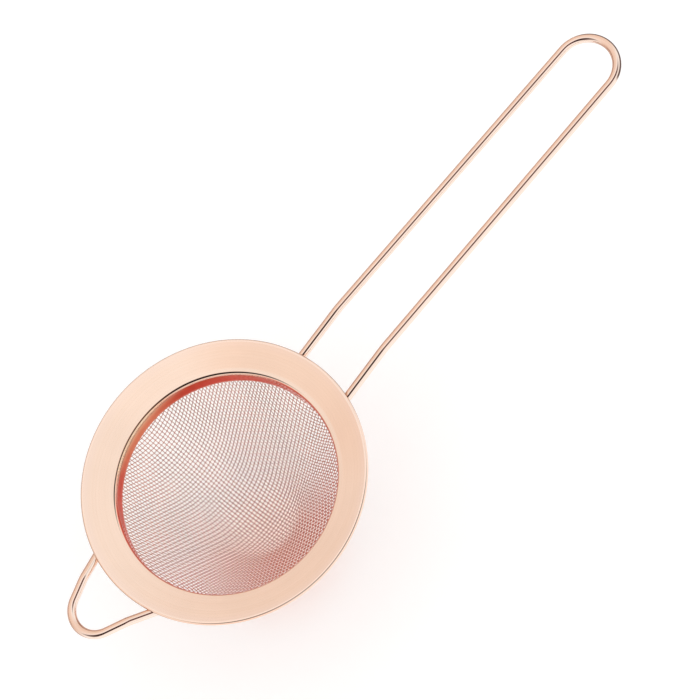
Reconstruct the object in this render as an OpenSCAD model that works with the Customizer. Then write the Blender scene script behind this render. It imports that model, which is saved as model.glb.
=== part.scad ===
// Conical fine mesh cocktail strainer.
// A pressed, dished rim with a curled edge carries a cone of woven wire mesh.
// A long looped wire handle and a short looped rest are welded below the rim and pass under its curled edge.
// Frame: origin at the centre of the rim, level with its highest edge.
// +Z points out of the mouth, the mesh cone points down, the handle lies along +X.

/* [Rim] */
// Outside diameter over the curled edge
rim_d = 85; // [83:1:90]
// Thickness of the sheet the rim is pressed from
sheet_t = 0.5; // [0.4:0.1:0.6]
// Outside radius of the curled edge
curl_r = 0.7; // [0.7:0.1:0.8]
// How far the curl wraps back below its centre, in degrees
curl_wrap = 150; // [100:10:160]
// Slope of the dished flange, down towards the collar, in degrees
flange_slope = 24; // [20:1:26]

/* [Collar] */
// Inside diameter of the collar
collar_d = 65.6; // [64:0.1:67]
// Height of the straight collar wall
collar_h = 4.8; // [4.2:0.1:6]
// Outside radius of the bend between the flange and the collar
lip_r = 1; // [0.7:0.1:1]

/* [Mesh] */
// Diameter of the mesh wire
mesh_wire_d = 0.25; // [0.2:0.01:0.28]
// Angle between the mesh cone and its axis, in degrees
cone_angle = 37.9; // [34:0.1:40]
// Radius of the rounded tip, at the middle of the cloth
tip_r = 17; // [14:0.5:18]
// Radius of the bend below the collar, at the middle of the cloth
shoulder_r = 2; // [1.5:0.5:3]
// Height of the band that clamps the cloth round the collar
band_h = 4.2; // [3.5:0.1:4.4]
// Thickness of the clamping band
band_t = 0.5; // [0.4:0.1:0.6]

/* [Handle] */
// Diameter of the handle and rest wire
wire_d = 2.6; // [2.4:0.1:2.8]
// Distance from the rim's centre to the tip of the handle, at the middle of the wire
handle_reach = 164.7; // [140:0.1:180]
// Radius of the handle's end bend, at the middle of the wire
handle_end_r = 9; // [8:0.5:10]
// Angle each handle leg closes in towards the tip, in degrees
handle_taper = 0.3; // [0:0.1:0.6]
// Rise of the handle where it leaves the rim, in degrees
handle_rise_1 = 16.5; // [15:0.1:18]
// Rise of the long part of the handle, in degrees
handle_rise_2 = 7.3; // [5:0.1:10]
// Distance from the rim's centre to the bend between the two
handle_bend_x = 58.3; // [54:0.1:64]
// Radius of that bend, at the middle of the wire
handle_bend_r = 16; // [10:1:20]

/* [Rest] */
// Distance from the rim's centre to the tip of the rest, at the middle of the wire
rest_reach = 58.1; // [57:0.1:62]
// Radius of the rest's end bend, at the middle of the wire
rest_end_r = 7.53; // [7.2:0.01:8]
// Angle each rest leg closes in towards the tip, in degrees
rest_taper = 22.5; // [20:0.1:24]
// Slope of the rest's legs below the rim, in degrees
rest_rise = 16.5; // [15:0.5:18]
// Radius of the bend where the rest levels out, at the middle of the wire
rest_bend_r = 6; // [5:0.5:8]
// How far beyond the rim's edge the rest levels out
rest_level = 5.7; // [4.5:0.1:6]

/* [Hidden] */

copper = [0.93, 0.70, 0.58];
copper_dark = [0.80, 0.52, 0.42];
rim_r = rim_d / 2;
wire_r = wire_d / 2;
fs = flange_slope;
gap = 0.2;                                      // air between the inner end of a leg and the sheet above it
collar_ri = collar_d / 2;
collar_ro = collar_ri + sheet_t;
curl_c = [rim_r - curl_r, -curl_r];             // centre of the curl
lip_cx = collar_ri + lip_r;                     // centre of the bend over the collar
lip_c = [lip_cx, curl_c[1] + (curl_r - lip_r) / cos(fs) - (curl_c[0] - lip_cx) * tan(fs)];
collar_z = lip_c[1] - collar_h;                 // bottom of the collar
cloth_t = 2 * mesh_wire_d;                      // woven cloth is two wires thick
cloth_r = collar_ro + cloth_t / 2;              // middle of the cloth round the collar
band_z = collar_z;                              // bottom of the band
cloth_top = band_z + band_h - 0.4;              // the cloth's cut edge, hidden in the band
shoulder_c = [cloth_r - shoulder_r, collar_z - 0.3];
ca = cone_angle;
cone_len = (shoulder_c[0] + (shoulder_r - tip_r) * cos(ca)) / sin(ca);
tip_z = shoulder_c[1] + (tip_r - shoulder_r) * sin(ca) - cone_len * cos(ca);   // centre of the rounded tip

// Points on an arc about c, from angle a0 to a1
function arc(c, r, a0, a1, n) = [for (i = [0:n]) let (a = a0 + (a1 - a0) * i / n) [c[0] + r * cos(a), c[1] + r * sin(a)]];

// Height of the flange's top face at a distance r from the axis
function flange_z(r) = curl_c[1] + curl_r / cos(fs) - (curl_c[0] - r) * tan(fs);

// Sheet section: curl, flange, bend and collar
function rim_section() = concat(
    arc(curl_c, curl_r, -curl_wrap, 90 + fs, 30),
    arc(lip_c, lip_r, 90 + fs, 180, 8),
    [[collar_ri, collar_z], [collar_ro, collar_z]],
    arc(lip_c, lip_r - sheet_t, 180, 90 + fs, 8),
    arc(curl_c, curl_r - sheet_t, 90 + fs, -curl_wrap, 30));

// One face of the cloth, from its cut edge down to the axis, d outside the middle of the cloth
function cloth_face(d) = concat(
    [[cloth_r + d, cloth_top]],
    arc(shoulder_c, shoulder_r + d, 0, -ca, 6),
    arc([0, tip_z], tip_r + d, -ca, -90, 14));

function reversed(p) = [for (i = [len(p) - 1:-1:0]) p[i]];

// Straight wire from the origin along -X
module wire(len, r = wire_r) rotate([0, -90, 0]) cylinder(h = len, r = r, $fn = 64);

// ---- Looped wires ----
// Both wires are a U whose legs bend down to run below the rim. In the loop's own frame
// the centre of the end bend is the origin, the tip points along +X and the U lies in XY.
// p holds [end bend radius, taper, outer straight, bend radius, bend angle, inner straight].
module inner_frame(p) rotate([0, 0, -p[1]]) translate([-p[2], p[0], -p[3]]) rotate([0, -p[4], 0]) translate([0, 0, p[3]]) children();

// A station on the wire is its centre and two unit vectors across the wire.
// The stations of one side run from the tip, round the end bend, and down the leg.
end_steps = 14;
bend_steps = 5;
function half_stations(p) = let (
    t = p[1], run = [-cos(t), sin(t), 0], side = [sin(t), cos(t), 0], up = [0, 0, 1],
    bend_at = p[0] * side + p[2] * run,
    bent = [for (i = [0:bend_steps]) let (b = p[4] * i / bend_steps)
        [bend_at + p[3] * sin(b) * run - p[3] * (1 - cos(b)) * up, side, cos(b) * up + sin(b) * run]],
    last = bent[bend_steps], run2 = cos(p[4]) * run - sin(p[4]) * up)
    concat(
        [for (i = [0:end_steps]) let (a = (90 - t) * i / end_steps) [p[0] * [cos(a), sin(a), 0], [cos(a), sin(a), 0], up]],
        bent,
        [[last[0] + p[5] * run2, last[1], last[2]]]);

function flip_y(v) = [v[0], -v[1], v[2]];
function all_stations(h) = concat(
    [for (i = [len(h) - 1:-1:1]) [flip_y(h[i][0]), flip_y(h[i][1]), flip_y(h[i][2])]], h);

// Closed tube through the stations, its section keeping the wire's area
module tube(st, n = 24) {
    r = wire_r * sqrt(2 * PI / n / sin(360 / n));
    m = len(st);
    pts = [for (s = st) for (k = [0:n - 1]) s[0] + r * (cos(360 * k / n) * s[1] + sin(360 * k / n) * s[2])];
    sides = [for (i = [0:m - 2]) for (k = [0:n - 1]) let (a = i * n + k, b = i * n + (k + 1) % n)
        each [[a, b, b + n], [a, b + n, a + n]]];
    ends = [for (k = [1:n - 2]) each [[0, k + 1, k], [(m - 1) * n, (m - 1) * n + k, (m - 1) * n + k + 1]]];
    polyhedron(points = pts, faces = concat(sides, ends), convexity = 4);
}

module looped_wire(p) tube(all_stations(half_stations(p)));

function mm3(v) = round(v * 1000) / 1000;

// ---- Handle path ----
h1 = handle_rise_1;
h2 = handle_rise_2;
ht = handle_taper;
leg_end_r = collar_ro + cloth_t + band_t + 1.35;            // the legs stop short of the band
leg_drop = (sheet_t + gap + wire_r) / cos(fs);              // from the sheet's top face down to a leg's centre
leg_y = handle_end_r * cos(ht) + (handle_reach - handle_end_r - leg_end_r) * tan(ht);
hin_x = sqrt(leg_end_r * leg_end_r - leg_y * leg_y);        // where a leg starts, below the flange
hin_z = flange_z(leg_end_r) - leg_drop;
hb_tan = handle_bend_r * tan((h1 - h2) / 2);                // tangent length of the bend
hb_z = hin_z + (handle_bend_x - hin_x) * tan(h1);           // the corner the bend rounds off
h_cx = handle_reach - handle_end_r * cos(h2);               // centre of the end bend
h_cz = hb_z + (h_cx - handle_bend_x) * tan(h2);
h_l1 = (handle_bend_x - hin_x) / cos(h1) - hb_tan;
h_l2 = (h_cx - handle_bend_x) / cos(h2) / cos(ht) - hb_tan + handle_end_r * sin(ht);
handle_p = [handle_end_r, ht, mm3(h_l2), handle_bend_r, h1 - h2, mm3(h_l1)];

module handle_frame() translate([h_cx, 0, h_cz]) rotate([0, -h2, 0]) children();
module handle_loop() color(copper) handle_frame() looped_wire(handle_p);

// ---- Rest path ----
rt = rest_taper;
rr = rest_rise;
r_cx = rest_reach - rest_end_r;                             // centre of the rest's end bend, along -X
r_tp = [r_cx + rest_end_r * sin(rt), rest_end_r * cos(rt)]; // where a leg meets the end bend
// Distance back along a leg, in plan, from there to a given distance from the rim's axis
function rest_s(r) = let (b = -r_tp[0] * cos(rt) + r_tp[1] * sin(rt), c = r_tp * r_tp - r * r) -b - sqrt(b * b - c);
rs_in = rest_s(leg_end_r + 0.4);                            // inner end of a leg
rs_bend = rest_s(rim_r + rest_level);                       // corner where the rest levels out
rb_tan = rest_bend_r * tan(rr / 2);
rest_z = flange_z(leg_end_r + 0.4) - leg_drop + (rs_in - rs_bend) * tan(rr);
rest_p = [rest_end_r, rt, mm3(rs_bend - rb_tan), rest_bend_r, rr, mm3((rs_in - rs_bend) / cos(rr) - rb_tan)];

module rest_frame() translate([-r_cx, 0, rest_z]) rotate([0, 0, 180]) children();
module rest_loop() color(copper) rest_frame() looped_wire(rest_p);

// ---- Sheet parts ----
module rim_flange() color(copper) rotate_extrude($fn = 360) polygon(rim_section());

module mesh_basket() color(copper_dark)
    rotate_extrude($fn = 120) polygon(concat(cloth_face(cloth_t / 2), reversed(cloth_face(-cloth_t / 2))));

module mesh_band() color(copper) translate([0, 0, band_z]) difference() {
    cylinder(h = band_h, r = collar_ro + cloth_t + band_t, $fn = 180);
    translate([0, 0, -1]) cylinder(h = band_h + 2, r = collar_ro + cloth_t, $fn = 180);
}

// ---- Welds ----
// A bead on each side of a leg, in the groove between the wire and the sheet above it.
// It is fused 0.1 mm deep into the sheet.
weld_r = 1.2;
weld_at = 2;                                                // from the end of the leg
function bead_at(v) = [v[0], v[1], flange_z(norm([v[0], v[1]])) - (sheet_t + weld_r - 0.1) / cos(fs)];
// Beads beside the plan point v of a leg, across the plan direction side
module beads(v, side) for (s = [-1, 1]) translate(bead_at(v + s * (wire_r + 0.25) * side))
    rotate([0, 0, atan2(s * side[1], s * side[0])]) sphere(r = weld_r, $fn = 64);

module handle_welds() color(copper) for (m = [0, 1]) mirror([0, m, 0]) difference() {
    beads([hin_x + weld_at, leg_y], [0, 1]);
    handle_frame() inner_frame(handle_p) wire(handle_p[5]);
}

module rest_welds() color(copper) for (m = [0, 1]) mirror([0, m, 0]) difference() {
    beads(-(r_tp + (rs_in - weld_at) * [-cos(rt), sin(rt)]), [sin(rt), cos(rt)]);
    rest_frame() inner_frame(rest_p) wire(rest_p[5]);
}

rim_flange();
mesh_basket();
mesh_band();
handle_loop();
rest_loop();
handle_welds();
rest_welds();
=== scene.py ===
# Looks of the conical fine mesh strainer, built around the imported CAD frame.
import math
from math import sin, cos, tan, radians, sqrt, pi
import bpy
import numpy as np
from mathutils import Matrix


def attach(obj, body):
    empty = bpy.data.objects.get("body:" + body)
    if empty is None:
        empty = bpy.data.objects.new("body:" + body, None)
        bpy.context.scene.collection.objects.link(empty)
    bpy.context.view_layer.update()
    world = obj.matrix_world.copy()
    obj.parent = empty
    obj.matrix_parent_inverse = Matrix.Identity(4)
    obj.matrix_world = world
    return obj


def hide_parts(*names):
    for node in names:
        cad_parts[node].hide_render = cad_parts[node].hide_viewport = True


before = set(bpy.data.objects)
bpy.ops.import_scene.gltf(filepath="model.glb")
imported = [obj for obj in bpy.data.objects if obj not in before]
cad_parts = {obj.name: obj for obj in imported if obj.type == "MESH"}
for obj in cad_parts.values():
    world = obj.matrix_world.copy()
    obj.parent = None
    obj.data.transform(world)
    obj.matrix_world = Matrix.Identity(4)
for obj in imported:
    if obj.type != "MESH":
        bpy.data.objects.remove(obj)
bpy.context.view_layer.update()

rng = np.random.default_rng(7)
scene = bpy.context.scene

# ------------------------------------------------------------------ design sizes, mm
RIM_R, SHEET, CURL_R, CURL_WRAP, FS = 42.5, 0.5, 0.7, 150.0, radians(24.0)
COLLAR_RI, COLLAR_H, LIP_R = 32.8, 4.8, 1.0
MESH_D, CONE, TIP_R, SHOULDER_R = 0.25, radians(37.9), 17.0, 2.0
BAND_H, BAND_T = 4.2, 0.5
WIRE_R, GAP = 1.3, 0.2
CC = (RIM_R - CURL_R, -CURL_R)
LC = (COLLAR_RI + LIP_R, CC[1] + (CURL_R - LIP_R) / cos(FS) - (CC[0] - COLLAR_RI - LIP_R) * tan(FS))
COLLAR_RO = COLLAR_RI + SHEET
COLLAR_Z = LC[1] - COLLAR_H
CLOTH_T = 2 * MESH_D
CLOTH_R = COLLAR_RO + CLOTH_T / 2
LEG_END = COLLAR_RO + CLOTH_T + BAND_T + 1.35


def flange_z(r):
    return CC[1] + CURL_R / cos(FS) - (CC[0] - r) * tan(FS)


# ------------------------------------------------------------------ mesh helpers
def add_mesh(name, verts, faces, smooth=True):
    me = bpy.data.meshes.new(name)
    v = np.asarray(verts, float) / 1000.0
    me.from_pydata(v.tolist(), [], faces)
    me.validate()
    if smooth:
        me.polygons.foreach_set("use_smooth", [True] * len(me.polygons))
    me.update()
    ob = bpy.data.objects.new(name, me)
    scene.collection.objects.link(ob)
    return ob


def add_quads(name, verts, quads, extra=(), smooth=True):
    """Fast mesh from numpy quads, plus a few extra polygons."""
    me = bpy.data.meshes.new(name)
    v = (np.asarray(verts, float) / 1000.0).astype(np.float32)
    quads = np.asarray(quads, np.int32)
    nq = len(quads)
    extra = [list(e) for e in extra]
    loops = np.concatenate([quads.ravel()] + [np.asarray(e, np.int32) for e in extra]) if extra else quads.ravel()
    totals = np.array([4] * nq + [len(e) for e in extra], np.int32)
    starts = np.concatenate([[0], np.cumsum(totals)[:-1]]).astype(np.int32)
    me.vertices.add(len(v)); me.vertices.foreach_set("co", v.ravel())
    me.loops.add(len(loops)); me.loops.foreach_set("vertex_index", loops.astype(np.int32))
    me.polygons.add(len(totals)); me.polygons.foreach_set("loop_start", starts); me.polygons.foreach_set("loop_total", totals)
    me.update(calc_edges=True)
    me.validate()
    if smooth:
        me.polygons.foreach_set("use_smooth", [True] * len(me.polygons))
    me.update()
    ob = bpy.data.objects.new(name, me)
    scene.collection.objects.link(ob)
    return ob


def ring_quads(nr, na, closed_profile):
    """Quads of a revolve: nr profile points, na azimuths, vertex index = a * nr + i."""
    last = nr if closed_profile else nr - 1
    i = np.arange(last); a = np.arange(na)
    A, I = np.meshgrid(a, i, indexing="ij")
    I2 = (I + 1) % nr; A2 = (A + 1) % na
    return np.stack([A * nr + I, A * nr + I2, A2 * nr + I2, A2 * nr + I], -1).reshape(-1, 4)


def revolve(name, prof, na, wobble=None):
    """Closed profile (r, z) turned about Z. wobble(r, z, a) returns a small shift of z."""
    prof = np.asarray(prof, float)
    a = np.arange(na) * 2 * pi / na
    r, z = prof[:, 0], prof[:, 1]
    A, R_ = np.meshgrid(a, r, indexing="ij")
    Z = np.broadcast_to(z, A.shape).copy()
    if wobble is not None:
        Z += wobble(R_, Z, A)
    v = np.stack([R_ * np.cos(A), R_ * np.sin(A), Z], -1).reshape(-1, 3)
    return add_quads(name, v, ring_quads(len(prof), na, True))


def arc(c, r, a0, a1, n):
    t = np.radians(np.linspace(a0, a1, n))
    return np.column_stack([c[0] + r * np.cos(t), c[1] + r * np.sin(t)])


def line(p, q, n):
    """n points from p to q without the ends, crowded near both ends."""
    t = (1 - np.cos(np.linspace(0, pi, n + 2)[1:-1])) / 2
    return np.asarray(p)[None] + t[:, None] * (np.asarray(q) - np.asarray(p))[None]


# ------------------------------------------------------------------ rim: curl, dished flange, lip, collar
fsd = math.degrees(FS)
outer = arc(CC, CURL_R, -CURL_WRAP, 90 + fsd, 44)
lip_o = arc(LC, LIP_R, 90 + fsd, 180, 18)
lip_i = arc(LC, LIP_R - SHEET, 180, 90 + fsd, 14)
inner = arc(CC, CURL_R - SHEET, 90 + fsd, -CURL_WRAP, 30)
col_o = np.array([COLLAR_RI, COLLAR_Z]); col_i = np.array([COLLAR_RO, COLLAR_Z])
e = 0.06
cut = arc((CC[0] + (CURL_R - SHEET / 2) * cos(radians(-CURL_WRAP)), CC[1] + (CURL_R - SHEET / 2) * sin(radians(-CURL_WRAP))), SHEET / 2, -CURL_WRAP - 180, -CURL_WRAP - 360, 10)[1:-1]
prof = np.vstack([
    outer, line(outer[-1], lip_o[0], 30), lip_o, line(lip_o[-1], col_o, 10),
    [col_o + [0, e]], [col_o + [e, 0]], [col_i + [-e, 0]], [col_i + [0, e]],
    line(col_i, lip_i[0], 8), lip_i, line(lip_i[-1], inner[0], 22), inner, cut])


def sheet_wobble(r, z, a):
    """The faint unevenness that a pressed and polished sheet keeps, under 0.02 mm."""
    w = 0.010 * np.sin(2 * a + 0.6) + 0.006 * np.sin(3 * a + 2.1) + 0.003 * np.sin(5 * a + 1.0)
    k = np.clip((r - 34.5) / 3.0, 0, 1) * np.clip((41.5 - r) / 3.0, 0, 1)
    w2 = 0.006 * np.sin((r - 34) * 1.9 + 0.5 * np.sin(2 * a)) * np.sin(a + 1.0)
    return k * (w + w2)


rim = revolve("rim_sheet", prof, 480, sheet_wobble)

# ------------------------------------------------------------------ clamping band, with a shallow press mark every 30 degrees
bo, bi = COLLAR_RO + CLOTH_T + BAND_T, COLLAR_RO + CLOTH_T
rb = 0.18
bz0, bz1 = COLLAR_Z, COLLAR_Z + BAND_H
bprof = np.vstack([
    arc((bo - rb, bz0 + rb), rb, -90, 0, 7), line((bo, bz0 + rb), (bo, bz1 - rb), 22), arc((bo - rb, bz1 - rb), rb, 0, 90, 7),
    arc((bi + rb, bz1 - rb), rb, 90, 180, 7), line((bi, bz1 - rb), (bi, bz0 + rb), 8), arc((bi + rb, bz0 + rb), rb, 180, 270, 7)])
na = 720
a = np.arange(na) * 2 * pi / na
Rr = np.broadcast_to(bprof[:, 0], (na, len(bprof))).copy(); Zz = np.broadcast_to(bprof[:, 1], Rr.shape)
for k in range(12):
    da = (a - (k + 0.5) * pi / 6 + pi) % (2 * pi) - pi
    d2 = (da[:, None] * bo) ** 2 + (Zz - (bz0 + bz1) / 2) ** 2
    Rr -= np.where(Rr > (bo + bi) / 2, 0.09 * np.exp(-(d2 / 0.9) ** 2), 0)
# the strip's ends meet in a fine joint
da = (a - radians(100) + pi) % (2 * pi) - pi
Rr -= np.where(Rr > (bo + bi) / 2, 0.05 * np.exp(-((da * bo) / 0.10) ** 2)[:, None], 0)
bv = np.stack([Rr * np.cos(a)[:, None], Rr * np.sin(a)[:, None], Zz], -1).reshape(-1, 3)
band = add_quads("clamp_band", bv, ring_quads(len(bprof), na, True))


# ------------------------------------------------------------------ looped wires
def half_path(re, ta, L2, Rb, be, L1):
    th = np.linspace(0, pi / 2 - ta, 34)
    pts = [np.column_stack([re * np.cos(th), re * np.sin(th), 0 * th])]
    up = [np.tile([0., 0., 1.], (len(th), 1))]
    T = pts[0][-1]; d = np.array([-cos(ta), sin(ta), 0.])
    n = max(4, int(L2 / 1.2)); s = np.linspace(0, L2, n)[1:]
    pts.append(T + s[:, None] * d); up.append(np.tile([0., 0., 1.], (len(s), 1)))
    E = pts[-1][-1]; b = np.linspace(0, be, 14)[1:]
    z = np.array([0, 0, 1.])
    pts.append(E + np.outer(Rb * np.sin(b), d) - np.outer(Rb * (1 - np.cos(b)), z)); up.append(np.outer(np.cos(b), z) + np.outer(np.sin(b), d))
    F = pts[-1][-1]; d2 = d * cos(be) - z * sin(be)
    n = max(4, int(L1 / 1.2)); s = np.linspace(0, L1, n)[1:]
    pts.append(F + s[:, None] * d2); up.append(np.tile(up[-1][-1], (len(s), 1)))
    P, U = np.vstack(pts), np.vstack(up)
    m = np.array([1, -1, 1])
    return np.vstack([P[:0:-1] * m, P]), np.vstack([U[:0:-1] * m, U])


def tube(name, P, U, r, sides=40):
    """Smooth round wire along P with its ends cut square and lightly rounded."""
    T = np.gradient(P, axis=0); T /= np.linalg.norm(T, axis=1)[:, None]
    S = np.cross(U, T); S /= np.linalg.norm(S, axis=1)[:, None]; V = np.cross(T, S)
    rad = np.full(len(P), r)
    # rounded ends
    ch = 0.22
    add0 = [(ch * (1 - cos(t)), r - ch + ch * sin(t)) for t in np.linspace(0, pi / 2, 6)[:-1]]
    P0, P1, T0, T1 = P[0].copy(), P[-1].copy(), T[0], T[-1]
    P = np.vstack([[P0 + T0 * x for x, _ in add0], [P0 + T0 * ch], P[1:-1], [P1 - T1 * ch], [P1 - T1 * x for x, _ in add0[::-1]]])
    rad = np.r_[[y for _, y in add0], r, rad[1:-1], r, [y for _, y in add0[::-1]]]
    k = len(add0)
    S = np.vstack([np.tile(S[0], (k + 1, 1)), S[1:-1], np.tile(S[-1], (k + 1, 1))]); V = np.vstack([np.tile(V[0], (k + 1, 1)), V[1:-1], np.tile(V[-1], (k + 1, 1))])
    t = np.arange(sides) * 2 * pi / sides
    v = P[:, None] + rad[:, None, None] * (np.cos(t)[None, :, None] * S[:, None] + np.sin(t)[None, :, None] * V[:, None])
    n = len(P)
    i = np.arange(n - 1)[:, None]; j = np.arange(sides)[None]; j2 = (j + 1) % sides
    q = np.stack([i * sides + j, i * sides + j2, (i + 1) * sides + j2, (i + 1) * sides + j], -1).reshape(-1, 4)
    caps = [list(range(sides))[::-1], [(n - 1) * sides + x for x in range(sides)]]
    return add_quads(name, v.reshape(-1, 3), q, caps)


LEG_DROP = (SHEET + GAP + WIRE_R) / cos(FS)
# handle
REACH, HER, HT, H1, H2, HBX, HBR = 164.7, 9.0, radians(0.3), radians(16.5), radians(7.3), 58.3, 16.0
leg_y = HER * cos(HT) + (REACH - HER - LEG_END) * tan(HT)
hin_x = sqrt(LEG_END ** 2 - leg_y ** 2); hin_z = flange_z(LEG_END) - LEG_DROP
tb = HBR * tan((H1 - H2) / 2); hb_z = hin_z + (HBX - hin_x) * tan(H1)
h_cx = REACH - HER * cos(H2); h_cz = hb_z + (h_cx - HBX) * tan(H2)
h_l1 = (HBX - hin_x) / cos(H1) - tb; h_l2 = (h_cx - HBX) / cos(H2) / cos(HT) - tb + HER * sin(HT)
P, U = half_path(HER, HT, h_l2, HBR, H1 - H2, h_l1)


def rot_y(v, a):
    return np.column_stack([v[:, 0] * cos(a) + v[:, 2] * sin(a), v[:, 1], -v[:, 0] * sin(a) + v[:, 2] * cos(a)])


HP = rot_y(P, -H2) + [h_cx, 0, h_cz]; HU = rot_y(U, -H2)
handle = tube("handle_wire", HP, HU, WIRE_R)
# rest
RREACH, RER, RT, RRISE, RBR, RLEV = 58.1, 7.53, radians(22.5), radians(16.5), 6.0, 5.7
r_cx = RREACH - RER
r_tp = np.array([r_cx + RER * sin(RT), RER * cos(RT)])


def rest_s(r):
    b = -r_tp[0] * cos(RT) + r_tp[1] * sin(RT)
    return -b - sqrt(b * b - (r_tp @ r_tp - r * r))


rs_in, rs_b = rest_s(LEG_END + 0.4), rest_s(RIM_R + RLEV)
rtb = RBR * tan(RRISE / 2)
rest_z = flange_z(LEG_END + 0.4) - LEG_DROP + (rs_in - rs_b) * tan(RRISE)
P, U = half_path(RER, RT, rs_b - rtb, RBR, RRISE, (rs_in - rs_b) / cos(RRISE) - rtb)
RP = P * [-1, -1, 1] + [-r_cx, 0, rest_z]; RU = U * [-1, -1, 1]
rest = tube("rest_wire", RP, RU, WIRE_R)


# ------------------------------------------------------------------ weld fillets in the grooves between legs and sheet
def fillet(P0, d, side, half=2.1, seed=0):
    """A rippled weld bead beside a leg. P0 is the plan point on the leg, d its plan direction outwards, side the plan side."""
    g = np.random.default_rng(seed)
    n_u, n_v = 34, 26
    u = np.linspace(-1, 1, n_u); vv = np.arange(n_v) * 2 * pi / n_v
    ph = g.uniform(0, 6, 3)
    verts = []
    for x in u[1:-1]:
        sc_ = (1 - abs(x) ** 2.6) ** 0.45
        rip = 1 + 0.025 * cos(x * 12 + ph[0]) + 0.010 * sin(x * 23 + ph[1])
        c = P0 + d * (x * half) + side * (WIRE_R + 0.12)
        rr = math.hypot(c[0], c[1])
        zt = flange_z(rr) - SHEET / cos(FS)
        R_ = 0.95 * sc_ * rip
        for t in vv:
            w = 1 + 0.05 * sin(2 * t + ph[2] + 3 * x)
            y = R_ * 0.95 * w * cos(t); z = R_ * w * sin(t)
            q = c + side * y
            verts.append([q[0], q[1], zt + 0.12 - 0.95 * sc_ + z])
    verts = np.array(verts)
    m = n_u - 2
    i = np.arange(m - 1)[:, None]; j = np.arange(n_v)[None]; j2 = (j + 1) % n_v
    q = np.stack([i * n_v + j, i * n_v + j2, (i + 1) * n_v + j2, (i + 1) * n_v + j], -1).reshape(-1, 4)
    ends = []
    for k, x in ((0, -1), (m - 1, 1)):
        ring = verts[k * n_v:(k + 1) * n_v]
        ends.append(ring.mean(0) + np.array([d[0], d[1], 0]) * x * 0.08)
    b = len(verts)
    verts = np.vstack([verts, ends])
    tris = [[b, (jj + 1) % n_v, jj] for jj in range(n_v)] + [[b + 1, (m - 1) * n_v + jj, (m - 1) * n_v + (jj + 1) % n_v] for jj in range(n_v)]
    return verts, q, tris


def welds(name, places):
    V, Q, T = [], [], []
    o = 0
    for k, (p, d, s) in enumerate(places):
        v, q, t = fillet(np.array([p[0], p[1]]), np.array(d), np.array(s), seed=40 + k)
        V.append(v); Q.append(q + o); T += [[i + o for i in f] for f in t]; o += len(v)
    return add_quads(name, np.vstack(V), np.vstack(Q), T)


hw = []
for sy in (1, -1):
    for s in (1, -1):
        hw.append(((hin_x + 2.3, sy * leg_y), (1., 0.), (0., float(s))))
handle_welds = welds("handle_weld_beads", hw)
rw = []
pin = -(r_tp + (rs_in - 2.3) * np.array([-cos(RT), sin(RT)]))
for sy in (1, -1):
    for s in (1, -1):
        rw.append(((pin[0], sy * pin[1]), (-cos(RT), sy * sin(RT) * 1.0), (s * sin(RT), s * sy * cos(RT))))
rest_welds = welds("rest_weld_beads", rw)


# ------------------------------------------------------------------ woven cloth, draped over the cone as a net of fixed wire lengths
class Surf:
    """Middle of the cloth, by arc length s from the tip."""
    def __init__(S):
        S.tr, S.sr, S.ca = TIP_R, SHOULDER_R, CONE
        S.sx, S.sz = CLOTH_R - SHOULDER_R, COLLAR_Z - 0.3
        L = (S.sx + (S.sr - S.tr) * cos(S.ca)) / sin(S.ca)
        S.tz = S.sz + (S.tr - S.sr) * sin(S.ca) - L * cos(S.ca)
        S.s1 = S.tr * (pi / 2 - S.ca); S.s2 = S.s1 + L; S.s3 = S.s2 + S.sr * S.ca

    def prof(S, s):
        s = np.asarray(s, float); r = np.empty_like(s); z = np.empty_like(s); nr = np.empty_like(s); nz = np.empty_like(s)
        m = s <= S.s1; th = s / S.tr
        r[m] = (S.tr * np.sin(th))[m]; z[m] = (S.tz - S.tr * np.cos(th))[m]; nr[m] = np.sin(th)[m]; nz[m] = -np.cos(th)[m]
        m = (s > S.s1) & (s <= S.s2); d = s - S.s1
        r[m] = (S.tr * cos(S.ca) + d * sin(S.ca))[m]; z[m] = (S.tz - S.tr * sin(S.ca) + d * cos(S.ca))[m]; nr[m] = cos(S.ca); nz[m] = -sin(S.ca)
        m = (s > S.s2) & (s <= S.s3); th = S.ca - (s - S.s2) / S.sr
        r[m] = (S.sx + S.sr * np.cos(th))[m]; z[m] = (S.sz - S.sr * np.sin(th))[m]; nr[m] = np.cos(th)[m]; nz[m] = -np.sin(th)[m]
        m = s > S.s3
        r[m] = CLOTH_R; z[m] = (S.sz + s - S.s3)[m]; nr[m] = 1; nz[m] = 0
        return r, z, nr, nz

    def pt(S, s, ph):
        r, z, _, _ = S.prof(s)
        return np.stack([r * np.cos(ph), r * np.sin(ph), z], -1)

    def nrm(S, s, ph):
        _, _, nr, nz = S.prof(s)
        return np.stack([nr * np.cos(ph), nr * np.sin(ph), nz], -1)


SF = Surf()
CLOTH_TOP = COLLAR_Z + BAND_H - 0.4
S_TOP = SF.s3 + (CLOTH_TOP - SF.sz)


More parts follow.
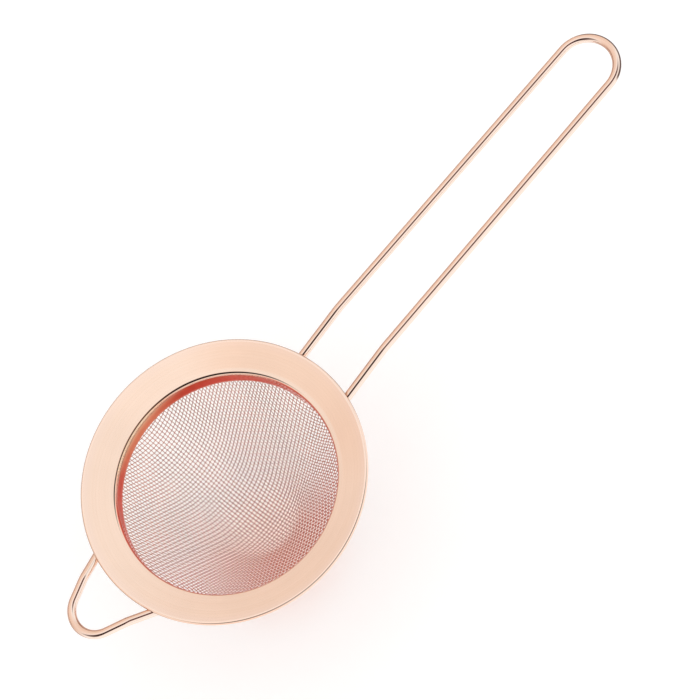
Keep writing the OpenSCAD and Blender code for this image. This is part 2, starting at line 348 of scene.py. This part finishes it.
def quadrant(ha, hb, smax):
    """Net of one quadrant: node (i, j) is ha from (i-1, j) and hb from (i, j-1). Solved one anti-diagonal at a time."""
    N = int(smax / min(ha, hb) * 1.9) + 4
    sv = np.full((N, N), np.nan); pv = np.full((N, N), np.nan)
    sv[:, 0] = np.arange(N) * ha; pv[:, 0] = 0; sv[0, :] = np.arange(N) * hb; pv[0, :] = pi / 2
    sv[sv > smax] = np.nan
    for k in range(2, 2 * N - 1):
        i = np.arange(max(1, k - N + 1), min(N - 1, k - 1) + 1); j = k - i
        ok = np.isfinite(sv[i - 1, j]) & np.isfinite(sv[i, j - 1])
        i, j = i[ok], j[ok]
        if len(i) == 0:
            if k > N: break
            continue
        A = SF.pt(sv[i - 1, j], pv[i - 1, j]); B = SF.pt(sv[i, j - 1], pv[i, j - 1]); Cc = SF.pt(sv[i - 1, j - 1], pv[i - 1, j - 1])
        G = A + B - Cc
        p = np.arctan2(G[:, 1], G[:, 0]); s = np.maximum(sv[i - 1, j] + sv[i, j - 1] - sv[i - 1, j - 1], 1e-3)
        for it in range(40):
            Pn = SF.pt(s, p)
            da_, db_ = Pn - A, Pn - B
            la, lb = np.linalg.norm(da_, axis=1), np.linalg.norm(db_, axis=1)
            f1, f2 = la - ha, lb - hb
            h = 1e-5
            Ps = (SF.pt(s + h, p) - Pn) / h; Pp = (SF.pt(s, p + h) - Pn) / h
            ua, ub = da_ / la[:, None], db_ / lb[:, None]
            a11, a12, a21, a22 = (ua * Ps).sum(1), (ua * Pp).sum(1), (ub * Ps).sum(1), (ub * Pp).sum(1)
            det = a11 * a22 - a12 * a21
            det = np.where(np.abs(det) < 1e-9, 1e-9, det)
            ds = (-f1 * a22 + f2 * a12) / det; dp = (-a11 * f2 + a21 * f1) / det
            s = np.maximum(s + np.clip(ds, -.5, .5), 1e-3); p = p + np.clip(dp, -.3, .3)
            if max(np.abs(f1).max(), np.abs(f2).max()) < 1e-9: break
        good = (np.abs(f1) < 1e-6) & (np.abs(f2) < 1e-6) & (s <= smax)
        sv[i[good], j[good]] = s[good]; pv[i[good], j[good]] = p[good]
    return sv, pv


HX, HY, PHI0 = 1.07, 1.28, radians(7.2)
nodes = {}
for q in range(4):
    sv, pv = quadrant((HX, HY)[q % 2], (HY, HX)[q % 2], S_TOP + 2.2)
    I, J = np.nonzero(np.isfinite(sv))
    ph = pv[I, J] + PHI0 + q * pi / 2
    X = SF.pt(sv[I, J], ph); Nn = SF.nrm(sv[I, J], ph)
    c = (I + 1j * J) * (1j ** q)
    for x, nn, cc_, s_ in zip(X, Nn, c, sv[I, J]):
        nodes[(int(round(cc_.real)), int(round(cc_.imag)))] = (x, nn, s_)

MR = 0.11                                  # radius of the mesh wire itself
AMP = MESH_D - MR - 0.004                  # crimp that fills the thickness of the cloth
SUB = 4


def strands(fam):
    """Every wire of one family as (points, surface normals), swinging over and under the other family."""
    out = []
    lines = {}
    for (i, j) in nodes:
        lines.setdefault(i if fam == 0 else j, []).append(j if fam == 0 else i)
    for k in sorted(lines):
        run = sorted(lines[k])
        # a line may be cut in pieces where it leaves the cloth
        pieces, cur = [], [run[0]]
        for t in run[1:]:
            if t == cur[-1] + 1: cur.append(t)
            else: pieces.append(cur); cur = [t]
        pieces.append(cur)
        for pc in pieces:
            if len(pc) < 4: continue
            key = [(k, t) if fam == 0 else (t, k) for t in pc]
            X = np.array([nodes[q][0] for q in key]); Nn = np.array([nodes[q][1] for q in key])
            sg = np.array([(-1.0) ** (q[0] + q[1]) for q in key]) * (1 if fam == 0 else -1)
            # Catmull-Rom through the nodes
            n = len(X); Xe = np.vstack([2 * X[0] - X[1], X, 2 * X[-1] - X[-2]])
            tt = np.arange(SUB) / SUB
            pts, nor = [], []
            for m in range(n - 1):
                p0, p1, p2, p3 = Xe[m], Xe[m + 1], Xe[m + 2], Xe[m + 3]
                t = tt[:, None]
                pts.append(0.5 * (2 * p1 + (p2 - p0) * t + (2 * p0 - 5 * p1 + 4 * p2 - p3) * t ** 2 + (3 * p1 - p0 - 3 * p2 + p3) * t ** 3))
                nn = Nn[m] * (1 - t) + Nn[m + 1] * t; nn /= np.linalg.norm(nn, axis=1)[:, None]
                nor.append(nn)
                # over and under: full swing at the crossings, straight flank between
                pts[-1] = pts[-1] + nn * (AMP * sg[m] * np.cos(pi * tt))[:, None]
            pts.append((X[-1] + Nn[-1] * AMP * sg[-1])[None]); nor.append(Nn[-1][None])
            P_, N_ = np.vstack(pts), np.vstack(nor)
            keep = P_[:, 2] < CLOTH_TOP
            # every run below the cut edge that has at least five points
            idx = np.nonzero(keep)[0]
            if len(idx) < 5: continue
            cuts = np.nonzero(np.diff(idx) > 1)[0]
            for seg in np.split(idx, cuts + 1):
                if len(seg) >= 5: out.append((P_[seg], N_[seg], k))
    return out


def strand_mesh(name, group, sides=8):
    V, Q, caps = [], [], []
    o = 0
    t = np.arange(sides) * 2 * pi / sides
    for P_, N_, _ in group:
        T = np.gradient(P_, axis=0); T /= np.linalg.norm(T, axis=1)[:, None]
        B = np.cross(T, N_); B /= np.linalg.norm(B, axis=1)[:, None]; W = np.cross(B, T)
        v = P_[:, None] + MR * (np.cos(t)[None, :, None] * W[:, None] + np.sin(t)[None, :, None] * B[:, None])
        n = len(P_)
        i = np.arange(n - 1)[:, None]; j = np.arange(sides)[None]; j2 = (j + 1) % sides
        Q.append(np.stack([i * sides + j, i * sides + j2, (i + 1) * sides + j2, (i + 1) * sides + j], -1).reshape(-1, 4) + o)
        caps += [[o + x for x in range(sides)][::-1], [o + (n - 1) * sides + x for x in range(sides)]]
        V.append(v.reshape(-1, 3)); o += n * sides
    return add_quads(name, np.vstack(V), np.vstack(Q), caps)


cloth = []
for fam, label in ((0, "warp"), (1, "weft")):
    g = strands(fam)
    lo = [x for x in g if x[2] < 0]; hi = [x for x in g if x[2] >= 0]
    cloth.append(strand_mesh("mesh_%s_wires_a" % label, lo)); cloth.append(strand_mesh("mesh_%s_wires_b" % label, hi))
    print("cloth", label, len(lo), len(hi), [len(o.data.polygons) for o in cloth[-2:]])


# ------------------------------------------------------------------ materials
def new_mat(name):
    m = bpy.data.materials.new(name); m.use_nodes = True
    nt = m.node_tree; nt.nodes.clear()
    out = nt.nodes.new("ShaderNodeOutputMaterial"); b = nt.nodes.new("ShaderNodeBsdfPrincipled")
    nt.links.new(b.outputs[0], out.inputs[0])
    return m, nt, b


def N(nt, kind, **kw):
    n = nt.nodes.new(kind)
    for k, v in kw.items():
        setattr(n, k, v)
    return n


def math_node(nt, op, a, b=None, c=None, clamp=False):
    n = N(nt, "ShaderNodeMath", operation=op, use_clamp=clamp)
    for i, x in enumerate((a, b, c)):
        if x is None: continue
        if isinstance(x, (int, float)): n.inputs[i].default_value = x
        else: nt.links.new(x, n.inputs[i])
    return n.outputs[0]


def smooth_map(nt, x, lo, hi, a=0.0, b=1.0):
    n = N(nt, "ShaderNodeMapRange", interpolation_type="SMOOTHSTEP")
    nt.links.new(x, n.inputs[0])
    for i, v in ((1, lo), (2, hi), (3, a), (4, b)): n.inputs[i].default_value = v
    return n.outputs[0]


def mix_col(nt, f, a, b, blend="MIX"):
    n = N(nt, "ShaderNodeMix", data_type="RGBA", blend_type=blend)
    if isinstance(f, (int, float)): n.inputs[0].default_value = f
    else: nt.links.new(f, n.inputs[0])
    for i, v in ((6, a), (7, b)):
        if isinstance(v, tuple): n.inputs[i].default_value = v if len(v) == 4 else v + (1,)
        else: nt.links.new(v, n.inputs[i])
    return n.outputs[2]


def position(nt):
    """Object position in millimetres, so that detail has its real scale."""
    tc = N(nt, "ShaderNodeTexCoord")
    s = N(nt, "ShaderNodeVectorMath", operation="SCALE"); s.inputs[3].default_value = 1000.0
    nt.links.new(tc.outputs["Object"], s.inputs[0])
    return s.outputs[0], tc


def noise(nt, vec, scale, detail=2.0, rough=0.5):
    n = N(nt, "ShaderNodeTexNoise"); n.inputs["Scale"].default_value = scale; n.inputs["Detail"].default_value = detail; n.inputs["Roughness"].default_value = rough
    nt.links.new(vec, n.inputs["Vector"])
    return n.outputs["Fac"]


def scratches(nt, vec):
    """Fine polishing hairlines: thin stretched noise in two directions."""
    o = []
    for rot, sc_ in (((0.0, 0.0, 0.5), (0.6, 14.0, 0.6)), ((0.0, 0.3, 2.0), (0.5, 18.0, 0.5))):
        mp = N(nt, "ShaderNodeMapping"); mp.inputs["Rotation"].default_value = rot; mp.inputs["Scale"].default_value = sc_
        nt.links.new(vec, mp.inputs["Vector"])
        o.append(smooth_map(nt, noise(nt, mp.outputs[0], 1.0, 3.0, 0.6), 0.60, 0.75))
    return math_node(nt, "MAXIMUM", o[0], o[1])


W_DIR = (-0.108, -0.405, 0.908)


def reflection(nt):
    """Direction in which the surface mirrors the eye, as x, y, z."""
    g = N(nt, "ShaderNodeNewGeometry")
    rf = N(nt, "ShaderNodeVectorMath", operation="REFLECT")
    nt.links.new(g.outputs["Incoming"], rf.inputs[0]); nt.links.new(g.outputs["Normal"], rf.inputs[1])
    ng = N(nt, "ShaderNodeVectorMath", operation="SCALE"); ng.inputs[3].default_value = -1.0; nt.links.new(rf.outputs[0], ng.inputs[0])
    sp = N(nt, "ShaderNodeSeparateXYZ"); nt.links.new(ng.outputs[0], sp.inputs[0])
    return sp.outputs


def dot3(nt, R, v):
    return math_node(nt, "MULTIPLY_ADD", R[0], v[0], math_node(nt, "MULTIPLY_ADD", R[1], v[1], math_node(nt, "MULTIPLY", R[2], v[2])))


def painted_gap_reflection(nt, R, core=6.0, edge=19.0):
    """Painted reflection mask: 1 where a polished surface would mirror a dark gap between soft boxes above the front of
    the table; the gap is painted into the colour, not lit.
    """
    across = math_node(nt, "ABSOLUTE", dot3(nt, R, (0.0, 0.913, 0.407)))
    band = smooth_map(nt, across, sin(radians(core)), sin(radians(edge)), 1.0, 0.0)
    return math_node(nt, "MULTIPLY", band, smooth_map(nt, dot3(nt, R, W_DIR), 0.50, 0.93))


def painted_far_table_reflection(nt, R):
    """Painted reflection mask: 1 where it would mirror the unlit table edge low on the far side."""
    return math_node(nt, "MULTIPLY", smooth_map(nt, R[2], -0.02, -0.30), smooth_map(nt, R[1], -0.15, 0.30))


def dim(nt, f, col, k):
    return mix_col(nt, f, col, mix_col(nt, 1.0, col, k, "MULTIPLY"))


def copper(name, base, rough, bump=0.00001, tint_and_painted_light=None, scratch=0.4, var=0.05, hair=0.10):
    m, nt, b = new_mat(name)
    vec, tc = position(nt)
    cloud = noise(nt, vec, 0.09, 3.0)
    grain = noise(nt, vec, 1.7, 3.0)
    sc_ = scratches(nt, vec)
    light = tuple(min(1.0, c * (1 + var)) for c in base); dark = tuple(c * (1 - var) for c in base)
    col = mix_col(nt, smooth_map(nt, cloud, 0.35, 0.65), dark, light)
    col = mix_col(nt, math_node(nt, "MULTIPLY", sc_, hair), col, tuple(min(1.0, c * 1.08 + 0.03) for c in base))
    b.inputs["Metallic"].default_value = 1.0
    # the optional function paints reflections and bounced light into the base colour
    if tint_and_painted_light is not None:
        col = tint_and_painted_light(nt, vec, tc, col)
        if isinstance(col, tuple):
            col, metal = col
            nt.links.new(metal, b.inputs["Metallic"])
    nt.links.new(col, b.inputs["Base Color"])
    r = math_node(nt, "MULTIPLY_ADD", grain, rough * 0.5, rough * 0.75)
    r = math_node(nt, "MULTIPLY_ADD", sc_, scratch * rough, r)
    nt.links.new(r, b.inputs["Roughness"])
    bp = N(nt, "ShaderNodeBump"); bp.inputs["Strength"].default_value = 0.35; bp.inputs["Distance"].default_value = bump
    h = math_node(nt, "MULTIPLY_ADD", sc_, -0.6, noise(nt, vec, 0.35, 2.0))
    nt.links.new(h, bp.inputs["Height"]); nt.links.new(bp.outputs[0], b.inputs["Normal"])
    return m


def rim_painted_light(nt, vec, tc, col):
    """Painted reflections and bounced light: the collar is painted from a gold highlight to deep red down its wall,
    standing in for light bouncing many times; lip and curl get painted reflections of the studio.
    """
    sep = N(nt, "ShaderNodeSeparateXYZ"); nt.links.new(vec, sep.inputs[0])
    x, y, z = sep.outputs
    r = math_node(nt, "SQRT", math_node(nt, "ADD", math_node(nt, "POWER", x, 2.0), math_node(nt, "POWER", y, 2.0)))
    ang = math_node(nt, "ARCTAN2", y, x)
    # faint rings left by the pressing and polishing of the flange
    ring = N(nt, "ShaderNodeTexNoise"); ring.noise_dimensions = "1D"; ring.inputs["Scale"].default_value = 1.6; ring.inputs["Detail"].default_value = 3.0
    nt.links.new(r, ring.inputs["W"])
    col = mix_col(nt, math_node(nt, "MULTIPLY", smooth_map(nt, ring.outputs["Fac"], 0.35, 0.75), 0.30), col, (0.90, 0.645, 0.505))
    # painted highlight: the outer zone of the flange is painted paler and pinker, standing in for light off the rolled
    # edge
    col = mix_col(nt, smooth_map(nt, r, 39.4, 41.2, 0.0, 0.35), col, (0.955, 0.75, 0.65))
    # collar: a painted gold highlight, then orange and deep red painted in for light bouncing inside the bowl
    left = math_node(nt, "MULTIPLY", smooth_map(nt, ang, radians(66), radians(98)), smooth_map(nt, ang, radians(120), radians(140), 1.0, 0.0))   # where the gold highlight lies
    warm = math_node(nt, "MULTIPLY", left, smooth_map(nt, ang, radians(108), radians(134), 1.0, 0.0))
    z0 = math_node(nt, "MULTIPLY_ADD", left, -1.0, z)                        # the red starts higher up on the right
    down = smooth_map(nt, z0, LC[1] + 0.55, LC[1] - 0.25)
    down = math_node(nt, "MAXIMUM", math_node(nt, "MULTIPLY", down, math_node(nt, "SUBTRACT", 1.0, left)), smooth_map(nt, z, LC[1] + 0.35, LC[1] - 1.0))
    # painted reflection: on these sides the lip is painted with the bowl's red too
    side = math_node(nt, "MAXIMUM", smooth_map(nt, ang, radians(128), radians(148)), smooth_map(nt, ang, radians(40), radians(10)))   # here the lip mirrors the red bowl
    down = math_node(nt, "MAXIMUM", down, math_node(nt, "MULTIPLY", side, smooth_map(nt, z, LC[1] + 0.90, LC[1] + 0.50)))
    deep = smooth_map(nt, z, LC[1] - 0.4, LC[1] - 2.8)
    foot = smooth_map(nt, z, COLLAR_Z + 1.3, COLLAR_Z + 0.2)
    gold = mix_col(nt, left, col, (0.98, 0.80, 0.58))
    c1 = mix_col(nt, warm, (0.72, 0.075, 0.032), (0.99, 0.55, 0.33))
    c2 = mix_col(nt, warm, (0.78, 0.065, 0.035), (0.97, 0.30, 0.16))
    wall_reflection = mix_col(nt, deep, mix_col(nt, down, gold, c1), c2)
    wall_reflection = mix_col(nt, math_node(nt, "MULTIPLY", foot, 0.6), wall_reflection, (0.95, 0.36, 0.25))
    # the painted red is only shown when looking down into the collar; across it, the plain plating shows
    R = reflection(nt)
    # painted reflection: the flange next to the collar is painted slightly darker where it would mirror the -x side
    flange = math_node(nt, "MULTIPLY", smooth_map(nt, r, 34.2, 34.8), smooth_map(nt, R[0], -0.25, -0.55))
    col = dim(nt, flange, col, (0.985, 0.915, 0.87))
    steep = smooth_map(nt, R[2], -0.52, -0.82)
    plain = mix_col(nt, down, col, (0.925, 0.62, 0.48))
    col = mix_col(nt, smooth_map(nt, r, 33.40, 33.26), col, mix_col(nt, math_node(nt, "MAXIMUM", steep, smooth_map(nt, z, LC[1] - 0.2, LC[1] + 0.3)), plain, wall_reflection))
    # painted reflection: a near-black line along the lip, browner on the gold side, where it would mirror the dark
    # studio
    near = math_node(nt, "MULTIPLY", smooth_map(nt, R[2], 0.34, 0.46), smooth_map(nt, dot3(nt, R, W_DIR), 0.50, 0.72))
    line_w = math_node(nt, "MULTIPLY", near, smooth_map(nt, math_node(nt, "MULTIPLY_ADD", left, 0.10, r), 33.62, 33.50))
    col = dim(nt, math_node(nt, "MULTIPLY", line_w, 0.98), col, mix_col(nt, left, (0.03, 0.010, 0.008), (0.17, 0.075, 0.055)))
    # painted reflections on the curl: a dark line where it would mirror the studio gap, and grey where it would mirror
    # the far table edge
    curl = smooth_map(nt, r, 41.55, 41.8)
    col = dim(nt, math_node(nt, "MULTIPLY", math_node(nt, "MULTIPLY", painted_gap_reflection(nt, R, 8.0, 22.0), curl), 0.95), col, (0.14, 0.07, 0.05))
    col = dim(nt, math_node(nt, "MULTIPLY", math_node(nt, "MULTIPLY", painted_far_table_reflection(nt, R), curl), 0.85), col, (0.36, 0.30, 0.27))
    # the collar's plating is matt where the cloth was clamped against it
    return col, math_node(nt, "MULTIPLY_ADD", math_node(nt, "MULTIPLY", smooth_map(nt, r, 33.0, 32.9), math_node(nt, "MULTIPLY", down, steep)), -0.66, 1.0)


def wire_painted_reflections(nt, vec, tc, col):
    """Polished round wire with the room painted into its colour as reflected stripes: salmon on the far half, the dark
    gap in the middle, pale in front.
    """
    R = reflection(nt)
    # painted reflections: salmon where the wire would mirror the far half of the room, near-black where it would mirror
    # the gap
    col = dim(nt, math_node(nt, "MULTIPLY", smooth_map(nt, R[1], -0.10, 0.50), 0.90), col, (0.91, 0.735, 0.64))
    col = dim(nt, math_node(nt, "MULTIPLY", painted_gap_reflection(nt, R, 9.0, 24.0), 0.98), col, (0.12, 0.022, 0.010))
    # painted reflection: the dark gap is painted wider on the left of the table
    across = math_node(nt, "ABSOLUTE", dot3(nt, R, (0.0, 0.913, 0.407)))
    wide = math_node(nt, "MULTIPLY", smooth_map(nt, across, sin(radians(13)), sin(radians(28)), 1.0, 0.0), smooth_map(nt, R[0], -0.18, -0.45))
    wide = math_node(nt, "MULTIPLY", wide, smooth_map(nt, dot3(nt, R, W_DIR), 0.30, 0.62))
    col = dim(nt, math_node(nt, "MULTIPLY", wide, 0.85), col, (0.12, 0.035, 0.022))
    # painted reflection of the unlit end of the room beyond the handle, level with the table
    end = math_node(nt, "MULTIPLY", smooth_map(nt, R[0], 0.42, 0.62), math_node(nt, "MULTIPLY", smooth_map(nt, R[2], -0.98, -0.86), smooth_map(nt, R[2], 0.0, 0.28, 1.0, 0.0)))
    sep = N(nt, "ShaderNodeSeparateXYZ"); nt.links.new(vec, sep.inputs[0])
    end = math_node(nt, "MULTIPLY", end, smooth_map(nt, sep.outputs[0], 60.0, 120.0))
    col = dim(nt, math_node(nt, "MULTIPLY", end, 0.95), col, (0.08, 0.03, 0.025))
    # painted reflection: greyer where the wire would mirror the far table edge
    return dim(nt, math_node(nt, "MULTIPLY", painted_far_table_reflection(nt, R), 0.80), col, (0.50, 0.38, 0.34))


def mesh_painted_light(nt, vec, tc, col):
    """The fine wire's base colour is darker than on the bright parts; painted bounced light makes it redder low in the
    cone and on the front side, and painted reflections darken it.
    """
    sep = N(nt, "ShaderNodeSeparateXYZ"); nt.links.new(vec, sep.inputs[0])
    R = reflection(nt)
    near = math_node(nt, "MULTIPLY_ADD", sep.outputs[0], -0.257, math_node(nt, "MULTIPLY", sep.outputs[1], -0.966))
    near = smooth_map(nt, near, -6.0, 18.0)
    # painted bounced light: the front side and the bottom of the cone are painted redder
    col = mix_col(nt, math_node(nt, "MULTIPLY", near, 0.95), col, (0.66, 0.175, 0.10))
    col = mix_col(nt, math_node(nt, "MULTIPLY", smooth_map(nt, sep.outputs[2], -34.0, -41.0), 0.35), col, (0.70, 0.28, 0.20))
    # painted reflections: darker where the wire would mirror the studio gap and the far table edge
    col = dim(nt, math_node(nt, "MULTIPLY", painted_gap_reflection(nt, R, 10.0, 32.0), 0.85), col, (0.24, 0.12, 0.10))
    return dim(nt, math_node(nt, "MULTIPLY", painted_far_table_reflection(nt, R), 0.6), col, (0.45, 0.35, 0.32)), math_node(nt, "MULTIPLY_ADD", near, -0.62, 0.88)


PALE = (0.945, 0.722, 0.585)
m_rim = copper("rim_copper", PALE, 0.10, tint_and_painted_light=rim_painted_light, var=0.010, bump=0.000003, hair=0.04)
m_wire = copper("wire_copper", (0.955, 0.785, 0.68), 0.07, var=0.02, bump=0.000004, tint_and_painted_light=wire_painted_reflections)
m_band = copper("band_copper", (0.90, 0.58, 0.45), 0.18)
m_weld = copper("weld_copper", (0.84, 0.52, 0.40), 0.30, bump=0.00003, var=0.12)
m_mesh = copper("mesh_copper", (0.65, 0.315, 0.225), 0.22, var=0.10, tint_and_painted_light=mesh_painted_light)

for ob, mat, slot, node in ((rim, m_rim, "rim_copper", "rim_flange"), (band, m_band, "band_copper", "mesh_band"),
                            (handle, m_wire, "wire_copper", "handle_loop"), (rest, m_wire, "wire_copper", "rest_loop"),
                            (handle_welds, m_weld, "weld_copper", "handle_welds"), (rest_welds, m_weld, "weld_copper", "rest_welds")):
    ob.data.materials.append(mat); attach(ob, "root"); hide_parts(node)
for ob in cloth:
    ob.data.materials.append(m_mesh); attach(ob, "root"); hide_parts("mesh_basket")

# ------------------------------------------------------------------ floor, world, lights
FLOOR_Z = -0.0475
fl = bpy.data.meshes.new("floor"); R_ = 3.0
fl.from_pydata([(-R_, -R_, FLOOR_Z), (R_, -R_, FLOOR_Z), (R_, R_, FLOOR_Z), (-R_, R_, FLOOR_Z)], [], [(0, 1, 2, 3)])
floor = bpy.data.objects.new("floor", fl); scene.collection.objects.link(floor)
mf, nt, b = new_mat("floor_paint")
vec, tc = position(nt)
# painted glow: a faint warm patch painted on the floor right under the bowl, standing in for light bounced off the
# copper; it glows with the floor's emission
off = N(nt, "ShaderNodeVectorMath", operation="DISTANCE"); nt.links.new(vec, off.inputs[0]); off.inputs[1].default_value = (-4.0, -8.0, FLOOR_Z * 1000.0)
glow = smooth_map(nt, off.outputs["Value"], 30.0, 6.0, 0.0, 0.45)
paint = mix_col(nt, glow, mix_col(nt, noise(nt, vec, 0.02, 4.0), (0.93, 0.93, 0.93), (0.96, 0.96, 0.96)), (0.93, 0.66, 0.56))
nt.links.new(paint, b.inputs["Base Color"]); b.inputs["Roughness"].default_value = 0.85
b.inputs["Specular IOR Level"].default_value = 0.1
nt.links.new(paint, b.inputs["Emission Color"]); b.inputs["Emission Strength"].default_value = 0.175
fl.materials.append(mf)

world = bpy.data.worlds.new("studio"); scene.world = world; world.use_nodes = True
nt = world.node_tree; nt.nodes.clear()
wo = N(nt, "ShaderNodeOutputWorld"); bg = N(nt, "ShaderNodeBackground"); nt.links.new(bg.outputs[0], wo.inputs[0])
tc = N(nt, "ShaderNodeTexCoord"); sep = N(nt, "ShaderNodeSeparateXYZ"); nt.links.new(tc.outputs["Generated"], sep.inputs[0])
X_, Y_, Z_ = sep.outputs
el_ = math_node(nt, "ARCSINE", Z_)                                     # radians above the horizon
azi = math_node(nt, "ARCTAN2", Y_, X_)


def window(x, lo, hi, soft):
    return math_node(nt, "MULTIPLY", smooth_map(nt, x, lo - soft, lo + soft), smooth_map(nt, x, hi - soft, hi + soft, 1.0, 0.0))


D_ = radians(1)
# the white tent: warmer low on the far side, and a dark gap along the far edge of the table
far = smooth_map(nt, Y_, -0.1, 0.75)
low = smooth_map(nt, el_, 8 * D_, 52 * D_, 1.0, 0.0)
tent = mix_col(nt, math_node(nt, "MULTIPLY", far, low), (1.0, 1.0, 1.0), (0.90, 0.80, 0.745))
tent = mix_col(nt, math_node(nt, "MULTIPLY", window(azi, 10 * D_, 150 * D_, 14 * D_), window(el_, -9 * D_, 9 * D_, 4 * D_)), tent, (0.16, 0.12, 0.10))
lp = N(nt, "ShaderNodeLightPath")
nt.links.new(mix_col(nt, lp.outputs["Is Camera Ray"], tent, (0.98, 0.98, 0.98)), bg.inputs[0])
bg.inputs[1].default_value = 1.0


ld = bpy.data.lights.new("soft_top", "AREA"); ld.energy = 0.25; ld.shape = "DISK"; ld.size = 1.4
top = bpy.data.objects.new("soft_top", ld); scene.collection.objects.link(top)
top.location = (-0.15, 0.1, 1.4)

# ------------------------------------------------------------------ camera
el, az, roll = radians(65.2245), radians(-14.9475), radians(-32.6435)
cx, cy, sc_px, D = 221.869, 478.0994, 3.5209, 600.0
w = np.array([cos(el) * sin(az), -cos(el) * cos(az), sin(el)]); rt_ = np.array([cos(az), sin(az), 0]); up = np.cross(w, rt_)
R2 = rt_ * cos(roll) + up * sin(roll); U2 = -rt_ * sin(roll) + up * cos(roll); f = sc_px * D
Cm = D * w - (cx - 350) / f * D * R2 + (cy - 350) / f * D * U2
cam_d = bpy.data.cameras.new("camera"); cam = bpy.data.objects.new("camera", cam_d); scene.collection.objects.link(cam)
cam_d.sensor_width = 36.0; cam_d.lens = f / 700.0 * 36.0; cam_d.clip_start = 0.01; cam_d.clip_end = 20
from mathutils import Matrix
M = Matrix.Identity(4)
for i in range(3):
    M[i][0], M[i][1], M[i][2], M[i][3] = R2[i], U2[i], w[i], Cm[i] / 1000.0
cam.matrix_world = M
scene.camera = cam
scene.view_settings.view_transform = "Standard"
